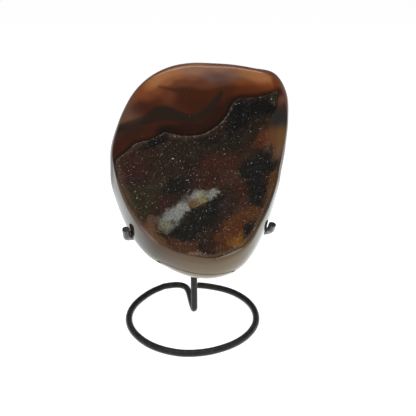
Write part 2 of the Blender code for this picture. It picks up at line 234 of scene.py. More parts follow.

# Patches: middle u and v, half lengths, turn in degrees, tone, strength; mostly stain, some painted
# light
DRUSE_PATCHES = (
    (-9.4, 21.1, 21.1, 5.3, 8, "olive_brown", 0.8),
    (-35.5, 18.0, 9.4, 4.1, 12, "cocoa", 0.7),
    (-45.8, 9.0, 9.9, 7.6, 20, "maroon", 0.85),
    (-26.6, 8.8, 8.2, 5.3, 0, "cocoa", 0.7),
    (-43.8, 0.5, 6.4, 4.7, 10, "plum", 0.8),
    (3.7, 29.5, 4.1, 2.3, 20, "maroon", 0.85),
    (12.2, 26.6, 11.7, 4.1, 38, "olive_black", 0.9),
    (24.7, 33.2, 7.6, 3.5, 30, "olive_brown", 0.8),
    (21.3, 25.9, 5.8, 2.3, 30, "olive_brown", 0.6),
    (25.3, 42.7, 15.8, 5.3, 6, "jet", 0.95),
    (15.6, 37.8, 7.0, 6.4, 40, "jet", 0.95),
    (10.5, 32.8, 4.7, 4.1, 40, "jet", 0.9),
    (-32.6, 24.5, 7.6, 2.1, 28, "jet", 0.95),
    (-27.4, 27.5, 2.9, 1.8, 20, "black", 0.9),
    (28.1, 23.1, 8.8, 2.9, 38, "rust", 0.85),
    (21.3, 17.5, 4.7, 2.3, 35, "maroon", 0.6),
    (5.3, 10.8, 14.0, 6.4, 5, "rust_dark", 0.85),
    (11.5, 2.8, 7.0, 5.3, 0, "rust_pink", 0.75),
    (-7.3, 3.0, 6.4, 5.3, 0, "maroon", 0.6),
    (-0.5, -0.5, 7.0, 2.9, 10, "rust_dark", 0.6),
    (17.2, -4.2, 7.0, 8.2, 0, "rust_dark", 0.6),
    (12.1, 20.4, 5.3, 2.9, 30, "olive_black", 0.8),
    (28.1, 11.7, 11.1, 7.6, 8, "black", 0.97),
    (21.2, 6.1, 5.8, 6.4, 0, "black", 0.95),
    (26.4, -6.6, 6.4, 7.6, 0, "black", 0.97),
    (22.4, 1.5, 4.1, 3.5, 0, "black", 0.9),
    (33.3, -0.9, 2.3, 7.0, -12, "gold_brown", 0.85),
    (34.4, 4.3, 1.8, 2.9, 0, "gold_brown", 0.7),
    (-21.1, -1.5, 8.2, 4.1, 8, "black", 0.9),
    (-15.3, 2.5, 5.3, 2.9, 10, "black", 0.6),
    (-39.4, -7.0, 9.4, 7.0, -20, "olive", 0.85),
    (-44.1, -14.9, 6.4, 4.7, -50, "olive", 0.8),
    (-31.3, -0.2, 5.3, 3.5, 30, "olive", 0.8),
    (-29.2, -11.7, 4.7, 4.1, 0, "maroon", 0.7),
    (-4.7, -18.9, 9.9, 6.4, 12, "black", 0.97),
    (-0.0, -12.0, 7.0, 4.1, 10, "black", 0.9),
    (-14.5, -27.4, 11.7, 5.3, 20, "black", 0.95),
    (-23.8, -30.2, 5.3, 2.9, 0, "black", 0.7),
    (9.7, -13.3, 6.4, 6.4, 0, "plum", 0.8),
    (5.1, -23.6, 5.3, 5.3, 0, "plum", 0.5),
    (21.2, -17.4, 8.2, 4.1, 8, "gold_brown", 0.85),
    (16.6, -13.3, 4.1, 4.7, 0, "rust_pink", 0.6),
    (12.0, -24.9, 7.6, 5.8, 30, "burnt_orange", 0.85),
    (7.3, -30.6, 7.0, 4.1, 20, "burnt_orange", 0.8),
    (14.4, -33.4, 5.4, 4.2, 20, "gold", 0.35),
    (14.1, -33.8, 3.8, 2.9, 25, "gold", 0.45),
    (13.8, -34.1, 2.4, 1.8, 30, "gold", 0.7),
    (16.6, -29.8, 2.2, 2.6, 0, "gold", 0.3),
    (8.0, -36.8, 2.8, 1.6, 10, "gold", 0.35),
    (5.0, -38.2, 5.8, 2.9, 5, "rust_low", 0.85),
    (21.2, -26.1, 5.3, 2.6, 10, "black", 0.85),
    (19.5, -30.8, 2.6, 2.9, 30, "black", 0.75),
    (25.2, -28.5, 2.9, 2.3, 30, "gold_brown", 0.7),
    (-13.5, -36.7, 9.4, 2.9, -5, "rust_low", 0.85),
    (-21.5, -34.3, 5.8, 2.9, -25, "rust_low", 0.85),
    (-7.2, -36.3, 2.6, 2.3, 0, "black", 0.85),
    (-3.1, -40.4, 3.5, 2.3, -10, "black", 0.85),
    (-36.3, -25.4, 4.7, 3.5, -50, "rust_tan", 0.85),
    (-31.9, -32.2, 4.7, 2.0, -45, "rust_tan", 0.8),
    (-40.8, -20.2, 4.7, 2.3, -50, "olive", 0.3),
    (-35.1, -20.8, 4.1, 2.9, 0, "pink_brown", 0.8),
    (30.4, 27.6, 3.5, 4.7, -15, "rust", 0.9),
    (32.1, 25.9, 2.9, 6.4, 0, "amber", 0.8),
    (36.1, 6.0, 1.8, 2.9, -10, "gold_brown", 0.8),
    (28.7, 25.3, 2.9, 2.9, 30, "rust", 0.5),
    (31.0, 18.0, 2.6, 2.0, 20, "pink_tan", 0.25),
    (36.7, 17.3, 2.3, 4.1, -10, "pink_tan", 0.5),
    (-10.5, -41.2, 4.5, 1.7, -4, "rim_tan", 0.8),
    (35.0, 47.0, 2.5, 3.0, 0, "olive", 0.95),
    (2.6, 26.8, 5.5, 2.8, 30, "jet", 0.6),
    (-3.0, 23.8, 7.0, 2.8, 8, "deep_shade", 0.75),
    (-12.3, 11.5, 7.0, 4.0, 5, "deep_shade", 0.5),
    (22.0, 33.5, 4.5, 3.0, 20, "deep_shade", 0.5),
    (20.5, 15.8, 4.0, 2.4, 0, "olive", 0.5),
    (30.6, 31.6, 2.0, 2.0, 0, "dark_olive", 0.5),
    (34.6, 15.0, 2.2, 4.0, -10, "amber", 0.35),
    (30.4, -9.5, 2.0, 4.0, -20, "gold_brown", 0.4),
    (10.6, -34.6, 2.4, 1.5, 10, "gold", 0.5))
PALE_PATCHES = (
    (-23.6, -19.4, 7.8, 4.6, 42, "bone", 0.97),
    (-18.6, -14.2, 4.9, 3.4, 45, "bone", 0.95),
    (-27.9, -24.4, 3.6, 3.6, 0, "pale_olive", 0.7),
    (-9.7, -7.0, 5.0, 2.5, 25, "bone", 0.92),
    (-0.9, -5.8, 4.0, 2.1, 38, "bone", 0.92),
    (2.0, -4.4, 2.0, 0.9, -30, "bone", 0.7),
    (-9.2, -10.8, 5.0, 2.3, 20, "straw", 0.8),
    (-13.2, -11.2, 2.6, 2.2, 10, "honey", 0.8),
    (-6.3, -10.0, 2.3, 1.3, 20, "cream", 0.55),
    (-10.9, -9.0, 2.6, 0.7, 20, "honey", 0.6),
    (-7.0, -6.4, 3.4, 2.0, 20, "cream", 0.45),
    (-2.8, -3.7, 1.5, 1.3, 0, "honey", 0.6),
    (-23.1, -22.0, 2.2, 1.6, 10, "slate", 0.8),
    (-15.9, -17.6, 1.8, 1.5, 30, "olive_black", 0.85),
    (-17.6, -21.6, 3.0, 2.2, 30, "olive_black", 0.65),
    (-15.2, -14.4, 2.2, 2.0, 0, "bone", 0.8),
    (-16.0, -7.4, 2.4, 1.4, 30, "ash", 0.5))
# Top-edge tan, mauve, grey and orange patches: partly stain, partly painted reflection of the light
# above and glow
POLISH_PATCHES = (
    (-43.9, 49.8, 8.2, 5.3, 50, "mauve_orange", 0.8),
    (-34.8, 53.7, 8.2, 5.3, 38, "orange", 0.9),
    (-30.8, 59.1, 7.6, 4.1, 30, "tan", 0.9),
    (-22.4, 62.4, 9.4, 3.5, 14, "tan", 0.85),
    (-11.2, 64.0, 8.2, 3.5, 0, "tan_mauve", 0.9),
    (-29.3, 50.3, 9.4, 4.1, 20, "red_orange", 0.7),
    (-22.5, 57.4, 7.0, 2.3, 20, "orange", 0.6),
    (-16.9, 54.7, 10.5, 3.5, 10, "deep_brown", 0.7),
    (-12.5, 48.0, 17.5, 7.6, 0, "deep_brown", 0.95),
    (1.1, 60.1, 7.0, 4.1, 0, "grey_mauve", 0.9),
    (8.9, 58.9, 7.0, 3.5, 0, "grey_mauve", 0.75),
    (9.0, 63.3, 8.2, 2.9, -5, "tan_mauve", 0.8),
    (23.6, 61.1, 9.4, 3.5, -16, "tan", 0.95),
    (29.2, 57.7, 5.8, 2.9, -20, "tan", 0.6),
    (20.2, 55.6, 14.0, 2.3, -4, "orange", 0.75),
    (28.1, 54.4, 7.0, 2.3, 10, "orange", 0.8),
    (17.9, 52.2, 14.0, 2.9, 3, "dark_rust", 0.85),
    (6.6, 52.3, 7.0, 3.5, 20, "deep_brown", 0.7),
    (-48.0, 40.4, 4.1, 7.0, -20, "mauve", 0.9),
    (-50.9, 34.9, 2.9, 3.5, -20, "mauve", 0.7),
    (-41.2, 42.6, 5.3, 4.1, 20, "dark_red", 0.9),
    (-33.9, 44.8, 7.0, 2.3, 20, "dark_red", 0.6),
    (-1.3, 41.2, 15.2, 5.8, 30, "deep_brown", 0.8),
    (-12.7, 31.3, 18.7, 4.1, 3, "under_band", 0.95),
    (2.0, 37.9, 7.0, 8.2, -30, "under_band", 0.9),
    (8.9, 44.5, 2.9, 4.7, -20, "under_band", 0.7),
    (-38.1, 29.8, 14.0, 2.9, 18, "red_brown", 0.9),
    (-50.0, 25.4, 7.0, 3.5, 40, "red_brown", 0.9),
    (-53.5, 19.3, 4.1, 3.5, 40, "red_brown", 0.9),
    (-53.9, 28.8, 2.3, 3.5, 0, "far_left", 0.8),
    (38.3, 51.0, 3.5, 3.5, 30, "dark_olive", 0.97),
    (32.6, 48.3, 3.5, 1.8, 20, "dark_olive", 0.9),
    (39.8, 46.8, 2.6, 2.9, 0, "mauve_brown", 0.95),
    (40.6, 43.2, 2.3, 2.3, 0, "slate", 0.8),
    (36.1, 37.6, 7.0, 7.0, 20, "slate", 0.97),
    (39.5, 36.5, 4.7, 5.3, 0, "slate", 0.9),
    (38.3, 34.8, 4.1, 3.2, 0, "slate", 0.95),
    (34.9, 25.3, 5.3, 5.8, 0, "amber", 0.95),
    (40.1, 24.7, 3.5, 7.6, 0, "olive_amber", 0.9),
    (32.1, 21.3, 1.5, 1.5, 0, "dark_olive", 0.9),
    (39.6, 12.8, 2.9, 5.8, 0, "dark_olive", 0.8),
    (-20.1, 65.1, 5.3, 1.5, 14, "pink_reflection", 0.8),
    (37.8, 17.9, 2.3, 4.1, -10, "pink_tan", 0.7),
    (-16.9, 56.9, 8.8, 2.6, 6, "warm_brown", 0.75),
    (-24.8, 50.3, 4.7, 5.3, 0, "orange_brown", 0.75),
    (-4.6, 55.4, 6.4, 2.3, 0, "warm_brown", 0.6),
    (4.4, 59.2, 5.8, 3.2, -6, "dusk", 0.85),
    (10.6, 62.5, 4.7, 2.0, 0, "dusk", 0.45),
    (-24.9, 43.6, 5.8, 2.6, 0, "dark_orange", 0.6),
    (-44.7, 36.3, 4.1, 3.5, 0, "dusk", 0.4),
    (-49.9, 31.8, 4.7, 2.9, 20, "shade", 0.9),
    (-44.3, 30.9, 4.7, 2.0, 15, "shade", 0.85),
    (-26.8, 31.1, 4.7, 1.9, 8, "deep_shade", 0.85),
    (-20.1, 30.2, 5.3, 1.3, -6, "deep_shade", 0.6),
    (-27.3, 34.7, 3.5, 1.5, 0, "shade", 0.5),
    (-25.9, 56.4, 3.8, 2.3, 20, "warm_tan", 0.6),
    (-20.2, 59.6, 4.7, 1.5, 5, "warm_tan", 0.5),
    (-12.4, 59.3, 5.3, 1.3, -4, "low_tan", 0.6),
    (5.0, 56.5, 4.7, 1.3, 0, "smoke", 0.7),
    (19.1, 61.1, 4.7, 2.0, -14, "low_tan", 0.35),
    (25.3, 58.9, 4.1, 2.3, -14, "warm_tan", 0.5),
    (-31.0, 52.0, 2.6, 2.0, 0, "russet", 0.5),
    (-8.1, 43.5, 5.3, 3.5, 0, "deep_russet", 0.5),
    (35.7, 56.0, 1.8, 4.7, 12, "ember", 0.9),
    (32.6, 53.3, 3.5, 1.3, -30, "ember", 0.5))
# Painted reflection: a soft lighter haze on the face's left edge
REFLECTION_PATCHES = (
    (-46.7, 38.6, 6.5, 4.5, 20, "mauve", 0.25),)
# Bands: points along the middle with half widths, tone, strength, softness of the edges
OLIVE_BAND = (
    (-56.0, 31.0, 2.0), (-52.6, 32.1, 1.9), (-47.6, 33.8, 1.8), (-42.5, 34.9, 2.0),
    (-38.0, 36.0, 2.7), (-34.0, 38.1, 3.8), (-30.6, 39.5, 4.4), (-27.2, 40.0, 4.1),
    (-23.3, 39.3, 3.7), (-18.8, 37.9, 3.0), (-13.8, 37.0, 2.2), (-9.3, 37.4, 2.1),
    (-5.3, 39.2, 2.3), (-1.9, 41.8, 2.0), (1.0, 45.1, 1.8), (3.2, 48.4, 1.8), (4.8, 51.0, 1.3))
DARK_STREAK = (
    (-30.4, 54.7, 0.4), (-25.9, 53.6, 0.6), (-21.4, 52.5, 1.0), (-17.5, 51.9, 1.2),
    (-13.6, 53.0, 0.8))
LOW_RIM = (
    (-54.5, 3.0, 0.3), (-52.8, -4.0, 0.9), (-50.0, -12.0, 0.9), (-46.3, -17.6, 1.2),
    (-40.8, -26.7, 1.8),
    (-36.9, -30.3, 2.4), (-32.7, -34.9, 1.6), (-22.5, -40.3, 1.2), (-11.2, -43.4, 1.4),
    (-1.0, -44.6, 0.8))
LOW_RIGHT_EDGE = (
    (1.5, -44.0, 0.1), (4.9, -43.0, 0.3), (9.0, -41.2, 0.6), (12.5, -39.7, 0.6),
    (16.0, -38.1, 0.3))
LOW_LEFT_CHIP = (
    (-43.0, -23.6, 0.1), (-39.6, -27.4, 0.4), (-36.0, -31.0, 0.5), (-31.6, -34.4, 0.1))
POLISH_BANDS = (
    (LOW_RIM, "rim_tan", 0.6, 1.2),
    (OLIVE_BAND, "olive_band", 0.93, 0.7),
    (DARK_STREAK, "streak", 0.8, 0.7),
    (LOW_RIGHT_EDGE, "pale_edge", 0.8, 0.5),
    (LOW_LEFT_CHIP, "chip", 0.7, 0.5))
RIGHT_RIM = (
    (34.6, -1.0, 0.2), (31.0, -11.0, 0.5), (26.0, -22.0, 1.0), (23.2, -27.8, 1.0),
    (20.0, -31.7, 0.9),
    (16.8, -35.4, 0.9), (8.2, -40.0, 0.8), (-1.0, -42.2, 0.8), (-6.0, -41.6, 0.8))
LEFT_RIM = (
    (-53.6, 11.5, 0.8), (-53.2, 6.0, 1.5), (-50.2, -4.0, 1.6), (-45.2, -15.6, 1.2))
PALE_VEIN = ((-34.6, 2.7, 0.1), (-34.0, 4.9, 0.2), (-32.9, 6.6, 0.2), (-31.1, 8.3, 0.1))
DRUSE_BANDS = (
    (LEFT_RIM, "pink_brown", 0.45, 2.2),
    (RIGHT_RIM, "rim_tan", 0.45, 1.0),
    (LOW_RIM, "rim_tan", 0.5, 1.2),
    (LOW_RIGHT_EDGE, "pale_edge", 0.5, 0.6),
    (PALE_VEIN, "ash", 0.7, 0.3))
# The stone's sides: angle round from +X, tone near the face and tone further back
# Round the top, from 90 to 104 degrees, the near tones are partly a painted reflection of the light
# above on the face's rim
SIDE_TONES = (
    (0, (70, 52, 38), (50, 38, 28)), (14, (72, 54, 40), (52, 40, 30)),
    (28, (98, 54, 32), (64, 42, 30)), (45, (104, 50, 24), (84, 46, 28)),
    (62, (122, 68, 38), (92, 50, 30)), (90, (132, 92, 74), (104, 60, 40)),
    (97, (138, 98, 74), (132, 96, 40)), (104, (132, 90, 62), (108, 60, 34)),
    (115, (118, 72, 40), (86, 48, 28)), (140, (86, 46, 28), (62, 38, 26)),
    (155, (76, 50, 38), (50, 34, 26)), (165, (62, 42, 32), (48, 34, 26)),
    (172, (56, 40, 32), (46, 33, 25)), (184, (56, 40, 30), (48, 34, 25)),
    (196, (56, 40, 30), (48, 34, 25)), (205, (56, 38, 28), (50, 34, 25)),
    (218, (56, 36, 26), (56, 36, 26)), (230, (66, 44, 30), (66, 46, 32)),
    (245, (84, 62, 42), (90, 69, 44)), (262, (92, 70, 40), (102, 81, 46)),
    (285, (96, 72, 38), (98, 77, 41)), (300, (86, 68, 38), (82, 64, 38)),
    (312, (76, 60, 38), (66, 52, 34)), (333, (66, 50, 36), (54, 42, 30)),
    (353, (68, 50, 38), (50, 38, 28)), (360, (70, 52, 38), (50, 38, 28)))


def soft_step(value):
    """0 below 0, 1 above 1, and a smooth rise between."""
    t = max(0.0, min(1.0, value))
    return t * t * (3.0 - 2.0 * t)


def rise(value, start, span):
    """A soft step that starts at a value and takes a span to get to 1."""
    return soft_step((value - start) / span)


def curve_between(a, b, c, d, t):
    """A value or point between b and c, on the smooth curve through all four (Catmull-Rom)."""
    return 0.5 * (2 * b + (c - a) * t + (2 * a - 5 * b + 4 * c - d) * t ** 2
                  + (3 * b - a - 3 * c + d) * t ** 3)


def smooth_through(points, steps, closed=False):
    """Points on a smooth curve that passes through the given ones."""
    count = len(points)
    spans = count if closed else count - 1
    result = []
    for i in range(spans):
        if closed:
            a, b, c, d = (points[(i + k - 1) % count] for k in range(4))
        else:
            b, c = points[i], points[i + 1]
            a = points[i - 1] if i else b * 2 - c
            d = points[i + 2] if i + 2 < count else c * 2 - b
        result += [curve_between(a, b, c, d, k / steps) for k in range(steps)]
    if not closed:
        result.append(points[-1].copy())
    return result


def radius_at(radii_mm, angle):
    """Radius in metres at an angle, from values at equal steps around the circle."""
    place = (angle / (2 * math.pi) % 1.0) * len(radii_mm)
    i = int(place)
    a, b, c, d = (radii_mm[(i + k - 1) % len(radii_mm)] for k in range(4))
    return curve_between(a, b, c, d, place - i) * MM


def face_height(u, v):
    """The slightly crowned face: its height over the middle, at a point of the face."""
    reach = math.hypot(u, v) / radius_at(FACE_RADII_MM, math.atan2(v, u))
    return -FACE_CROWN * min(reach, 1.0) ** CROWN_POWER


def linear(part):
    """One part of an sRGB colour, from 0 to 255, ready for a shader."""
    part /= 255.0
    return part / 12.92 if part <= 0.04045 else ((part + 0.055) / 1.055) ** 2.4


def shade_of(parts):
    """A colour of the stone for a shader, from its parts between 0 and 255."""
    return Vector([linear(part) for part in parts]) * TONE_GAIN


STONE_TONES = {name: shade_of(parts) for name, parts in TONES.items()}
SIDE_SHADES = [(deg, shade_of(near), shade_of(far)) for deg, near, far in SIDE_TONES]


def cover(u, v, patch, blur):
    """How strongly an oval patch covers a point of the face."""
    middle_u, middle_v, half_u, half_v, turn_deg = patch[:5]
    du, dv = u - middle_u, v - middle_v
    if abs(du) + abs(dv) > PATCH_REACH * (half_u + half_v):
        return 0.0
    turn = math.radians(turn_deg)
    along = (du * math.cos(turn) + dv * math.sin(turn)) / half_u
    across = (dv * math.cos(turn) - du * math.sin(turn)) / half_v
    return soft_step((1.0 + blur - math.hypot(along, across)) / (2.0 * blur))


def past_band(u, v, line):
    """How far a point is past the edge of a band of changing width."""
    best = math.inf
    for (ax, ay, first), (bx, by, last) in zip(line, line[1:]):
        span = (bx - ax) ** 2 + (by - ay) ** 2
        t = max(0.0, min(1.0, ((u - ax) * (bx - ax) + (v - ay) * (by - ay)) / span))
        off = math.hypot(u - ax - t * (bx - ax), v - ay - t * (by - ay))
        best = min(best, off - first - t * (last - first))
    return best


def patched(u, v, colour, patches, blur):
    """A colour with patches laid over it: stains, and on the polished face some painted light."""
    for patch in patches:
        colour = colour.lerp(STONE_TONES[patch[5]], cover(u, v, patch, blur) * patch[6])
    return colour


def banded(u, v, colour, bands):
    """A colour with bands of stain laid over it."""
    for line, name, strength, blur in bands:
        share = soft_step(0.5 - past_band(u, v, line) / (2 * blur))
        colour = colour.lerp(STONE_TONES[name], strength * share)
    return colour


def stray(u, v, layers):
    """How far a stain's outline strays at a point of the face."""
    total = Vector()
    for level, per_mm, reach_mm in layers:
        total += noise.noise_vector(Vector((u, v, level)) * per_mm) * reach_mm
    return total


def ripple(u, v, layers):
    """A number that rises and falls smoothly over the face."""
    return sum(size * noise.noise(Vector((u, v, level)) * per_mm)
               for level, per_mm, size in layers)


def druse_outline(steps):
    """The crystals' outline as a smooth closed curve."""
    return smooth_through([Vector(p) for p in DRUSE_OUTLINE_MM], steps, closed=True)


def white_line(steps):
    """The crystals' upper edge, where a thin white band divides them from the polished stone."""
    return smooth_through([Vector(p) for p in DRUSE_OUTLINE_MM[:WHITE_LINE_COUNT]], steps)


def point_tree(points):
    """A tree that finds the nearest of some points of the face."""
    tree = kdtree.KDTree(len(points))
    for i, point in enumerate(points):
        tree.insert((point[0], point[1], 0.0), i)
    tree.balance()
    return tree


def in_scene(name, data):
    """A new object in the scene."""
    item = bpy.data.objects.new(name, data)
    bpy.context.scene.collection.objects.link(item)
    return item


def new_piece(name, mesh, material):
    """A piece of the stone or the stand, shown with its material."""
    mesh.materials.clear()
    mesh.materials.append(material)
    piece = in_scene(name, mesh)
    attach(piece, "root")
    return piece


def mesh_of(bm, name):
    """A mesh that takes over a bmesh."""
    mesh = bpy.data.meshes.new(name)
    bm.to_mesh(mesh)
    bm.free()
    return mesh


def shown_mesh(item):
    """The mesh that an object shows, with its modifiers or its thickness applied."""
    bpy.context.view_layer.update()
    graph = bpy.context.evaluated_depsgraph_get()
    return bpy.data.meshes.new_from_object(item.evaluated_get(graph))


# The agate

def stone_point(angle, ring):
    """A point of the stone's outside, for an angle and a ring; the first ring is at the middle."""
    face = radius_at(FACE_RADII_MM, angle)
    girth = radius_at(GIRTH_RADII_MM, angle)
    depth = GIRTH_DEPTH - GIRTH_DEPTH_SWING * math.sin(angle)
    if ring <= FACE_RINGS:
        share = ring / FACE_RINGS
        return Vector((face * share * math.cos(angle), face * share * math.sin(angle),
                       -FACE_CROWN * share ** CROWN_POWER))
    if ring <= FACE_RINGS + SIDE_RINGS:
        turn = EDGE_START + (math.pi / 2 - EDGE_START) * (ring - FACE_RINGS) / SIDE_RINGS
        power = 2.0 + LOW_FULLNESS * rise(-math.sin(angle), *LOW_RISE)
        first = (1 - math.cos(EDGE_START) ** power) ** (1 / power)
        out = ((1 - max(math.cos(turn), 0.0) ** power) ** (1 / power) - first) / (1 - first)
        down = 1 - math.cos(turn) / math.cos(EDGE_START)
        radius = face + (girth - face) * out
        return Vector((radius * math.cos(angle), radius * math.sin(angle),
                       -FACE_CROWN - (depth - FACE_CROWN) * down))
    turn = math.pi / 2 * (ring - FACE_RINGS - SIDE_RINGS) / BACK_RINGS
    radius = girth * max(math.cos(turn), 0.0) ** BACK_POWER
    drift = math.sin(turn) ** 2
    return Vector((radius * math.cos(angle) + BACK_DRIFT.x * drift,
                   radius * math.sin(angle) + BACK_DRIFT.y * drift,
                   -depth - (THICKNESS - depth) * math.sin(turn) ** BACK_POWER))


def eased_point(angle, ring):
    """A point of the outside, with the edge between the face and the side rounded over."""
    sharp = stone_point(angle, ring)
    if abs(ring - FACE_RINGS) > EDGE_EASE + 1:
        return sharp
    total = Vector()
    for k in range(-EDGE_EASE, EDGE_EASE + 1):
        total += stone_point(angle, ring + k) * (EDGE_EASE + 1 - abs(k))
    eased = total / (EDGE_EASE + 1) ** 2
    return eased.lerp(sharp, TOP_CRISPNESS * rise(math.sin(angle), *TOP_RISE))


def pebble():
    """The whole stone before its pocket is cut, in the frame of its face."""
    rings = FACE_RINGS + SIDE_RINGS + BACK_RINGS
    bm = bmesh.new()
    bmesh.ops.create_uvsphere(bm, u_segments=STONE_SEGMENTS, v_segments=rings, radius=1.0)
    for vert in bm.verts:
        tilt = math.acos(max(-1.0, min(1.0, vert.co.z)))
        ring = round(tilt / math.pi * rings)
        vert.co = eased_point(math.atan2(vert.co.y, vert.co.x), ring)
    return mesh_of(bm, "pebble")


def pocket_cutter():
    """A straight-sided block over the crystals' outline."""
    bm = bmesh.new()
    corners = [(p.x * MM, p.y * MM, -POCKET_DEPTH) for p in druse_outline(CUTTER_STEPS)]
    floor = bm.faces.new([bm.verts.new(corner) for corner in corners])
    sides = bmesh.ops.extrude_face_region(bm, geom=[floor])
    for item in sides["geom"]:
        if isinstance(item, bmesh.types.BMVert):
            item.co.z = CUTTER_TOP
    bmesh.ops.recalc_face_normals(bm, faces=bm.faces[:])
    return mesh_of(bm, "pocket_cutter")


def cut_pocket(stone, cutter):
    """The stone's mesh with the pocket cut out of its face."""
    whole, block = in_scene("whole_stone", stone), in_scene("pocket_block", cutter)
    boolean = whole.modifiers.new("pocket", "BOOLEAN")
    boolean.operation = "DIFFERENCE"
    boolean.solver = "EXACT"
    boolean.object = block
    result = shown_mesh(whole)
    for helper in (whole, block):
        bpy.data.objects.remove(helper)
    return result


def side_shades(angle_deg):
    """The side's colours at an angle round the stone, near the face and further back."""
    for (first, near0, far0), (last, near1, far1) in zip(SIDE_SHADES, SIDE_SHADES[1:]):
        if angle_deg <= last:
            t = (angle_deg - first) / (last - first)
            return near0.lerp(near1, t), far0.lerp(far1, t)
    return SIDE_SHADES[-1][1:]


def swing(value):
    """A wave between 0 and 1."""
    return 0.5 + 0.5 * math.sin(value)


def back_colour(place, colour):
    """Broad bands of brown, tan and grey that close round the stone's back."""
    wander = sum(noise.noise(place * per_mm) * reach_mm for per_mm, reach_mm in BACK_WANDER)
    ring = (place - BACK_HEART_MM).length + wander
    fine = swing(ring / FINE_BAND_MM)
    broad = swing(ring / BROAD_BAND_MM + BROAD_BAND_START)
    bands = STONE_TONES["back_dark"].lerp(STONE_TONES["back_tan"], soft_step(fine) * TAN_SHARE)
    grey = soft_step(broad * GREY_CONTRAST - GREY_DROP) * GREY_SHARE
    return colour.lerp(bands.lerp(STONE_TONES["back_grey"], grey), rise(-place.z, *BACK_RISE))


def stone_colour(place):
    """Colour of the polished stone at a point of its outside: stain, and painted light at the
    face's edges.
    """
    u, v, out = place
    aside = stray(u, v, STONE_STRAY)
    pu, pv = u + PATCH_STRAY_MM * aside.x, v + PATCH_STRAY_MM * aside.y
    bu, bv = u + BAND_STRAY_MM * aside.x, v + BAND_STRAY_MM * aside.y
    angle = math.atan2(v, u)
    near, far = side_shades(math.degrees(angle) % 360.0)
    reach = math.hypot(u, v) * MM / radius_at(FACE_RADII_MM, angle)
    face = STONE_TONES["body"].lerp(near, rise(reach, *NEAR_EDGE_RISE))
    # Patches of stain, and along the top edge a painted reflection and glow
    face = patched(pu, pv, face, POLISH_PATCHES, POLISH_BLUR)
    face = banded(bu, bv, face, POLISH_BANDS)
    # Painted reflection on the face's left edge
    face = patched(u, v, face, REFLECTION_PATCHES, REFLECTION_BLUR)
    side = near.lerp(far, rise(-out, *FAR_SIDE_RISE))
    return back_colour(place, face.lerp(side, rise(-out, *SIDE_RISE)))


def paint(mesh, colours):
    """Store the colour of every corner point of a mesh: its stain, with painted light where the
    stone has it.
    """
    layer = mesh.attributes.new("stain_and_painted_light", "FLOAT_COLOR", "POINT")
    for item, colour in zip(layer.data, colours):
        item.color = (*colour, 1.0)


def agate_stone(material):
    """The polished agate, with the pocket that holds the crystals."""
    mesh = cut_pocket(pebble(), pocket_cutter())
    paint(mesh, [stone_colour(vert.co / MM) for vert in mesh.vertices])
    tree = point_tree(white_line(FINE_STEPS))
    gaps = mesh.attributes.new("line_gap", "FLOAT", "POINT")
    for item, vert in zip(gaps.data, mesh.vertices):
        item.value = tree.find(vert.co / MM)[2]
    for face in mesh.polygons:
        face.use_smooth = True
    mesh.set_sharp_from_angle(angle=STONE_CREASE)
    mesh.transform(ON_FACE)
    piece = new_piece("agate_stone", mesh, material)
    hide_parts("agate")
    return piece


# The crust of crystals

def inside(point, outline):
    """Whether a point of the face is inside an outline."""
    hit = False
    for a, b in zip(outline, outline[1:] + outline[:1]):
        if (a.y > point.y) != (b.y > point.y):
            if point.x < a.x + (point.y - a.y) / (b.y - a.y) * (b.x - a.x):
                hit = not hit
    return hit


def druse_sheet():
    """A sheet of small cells over the crystals' outline, still flat."""
    us, vs = zip(*DRUSE_OUTLINE_MM)
    middle = Vector(((min(us) + max(us)) / 2, (min(vs) + max(vs)) / 2, 0.0)) * MM
    half = math.hypot(max(us) - min(us), max(vs) - min(vs)) / 2 * MM + 2 * CRYSTAL
    cells = round(2 * half / CRYSTAL)
    turn = Matrix.Rotation(BED_TURN, 3, "Z")
    bm = bmesh.new()
    bmesh.ops.create_grid(bm, x_segments=cells, y_segments=cells, size=half)
    bmesh.ops.rotate(bm, verts=bm.verts[:], cent=(0, 0, 0), matrix=turn)
    bmesh.ops.translate(bm, verts=bm.verts[:], vec=middle)
    outline = druse_outline(CELL_STEPS)
    spare = [face for face in bm.faces if not inside(face.calc_center_median() / MM, outline)]
    bmesh.ops.delete(bm, geom=spare, context="FACES")
    return bm


def lay_bed(bm, edge_tree):
    """The sheet laid in the pocket: uneven, low in the middle and nearly flush at the right."""
    for vert in bm.verts:
        vert.co.x += random.uniform(-BED_STRAY, BED_STRAY) * CRYSTAL
        vert.co.y += random.uniform(-BED_STRAY, BED_STRAY) * CRYSTAL
        u, v = vert.co.x / MM, vert.co.y / MM
        inward = soft_step(edge_tree.find((u, v, 0.0))[2] / SLOPE_WIDTH_MM)
        flush = rise(u, *FLUSH_U_RISE) * rise(v, *FLUSH_V_RISE)
        sink = RIM_SINK_MM - FLUSH_MM * flush + (MIDDLE_SINK_MM + FLUSH_MM * flush) * inward
        drop = sink - ripple(u, v, BED_SWELL) + random.uniform(0, BED_UNEVEN_MM)
        vert.co.z = face_height(vert.co.x, vert.co.y) - drop * MM


def close_bed(bm):
    """Walls and a floor for the sheet, down in the pocket."""
    rim = [edge for edge in bm.edges if edge.is_boundary]
    low_edges = []
    for item in bmesh.ops.extrude_edge_only(bm, edges=rim)["geom"]:
        if isinstance(item, bmesh.types.BMVert):
            item.co.z = -POCKET_DEPTH + FLOOR_LIFT
        elif isinstance(item, bmesh.types.BMEdge):
            low_edges.append(item)
    bmesh.ops.contextual_create(bm, geom=[edge for edge in low_edges if edge.is_boundary])


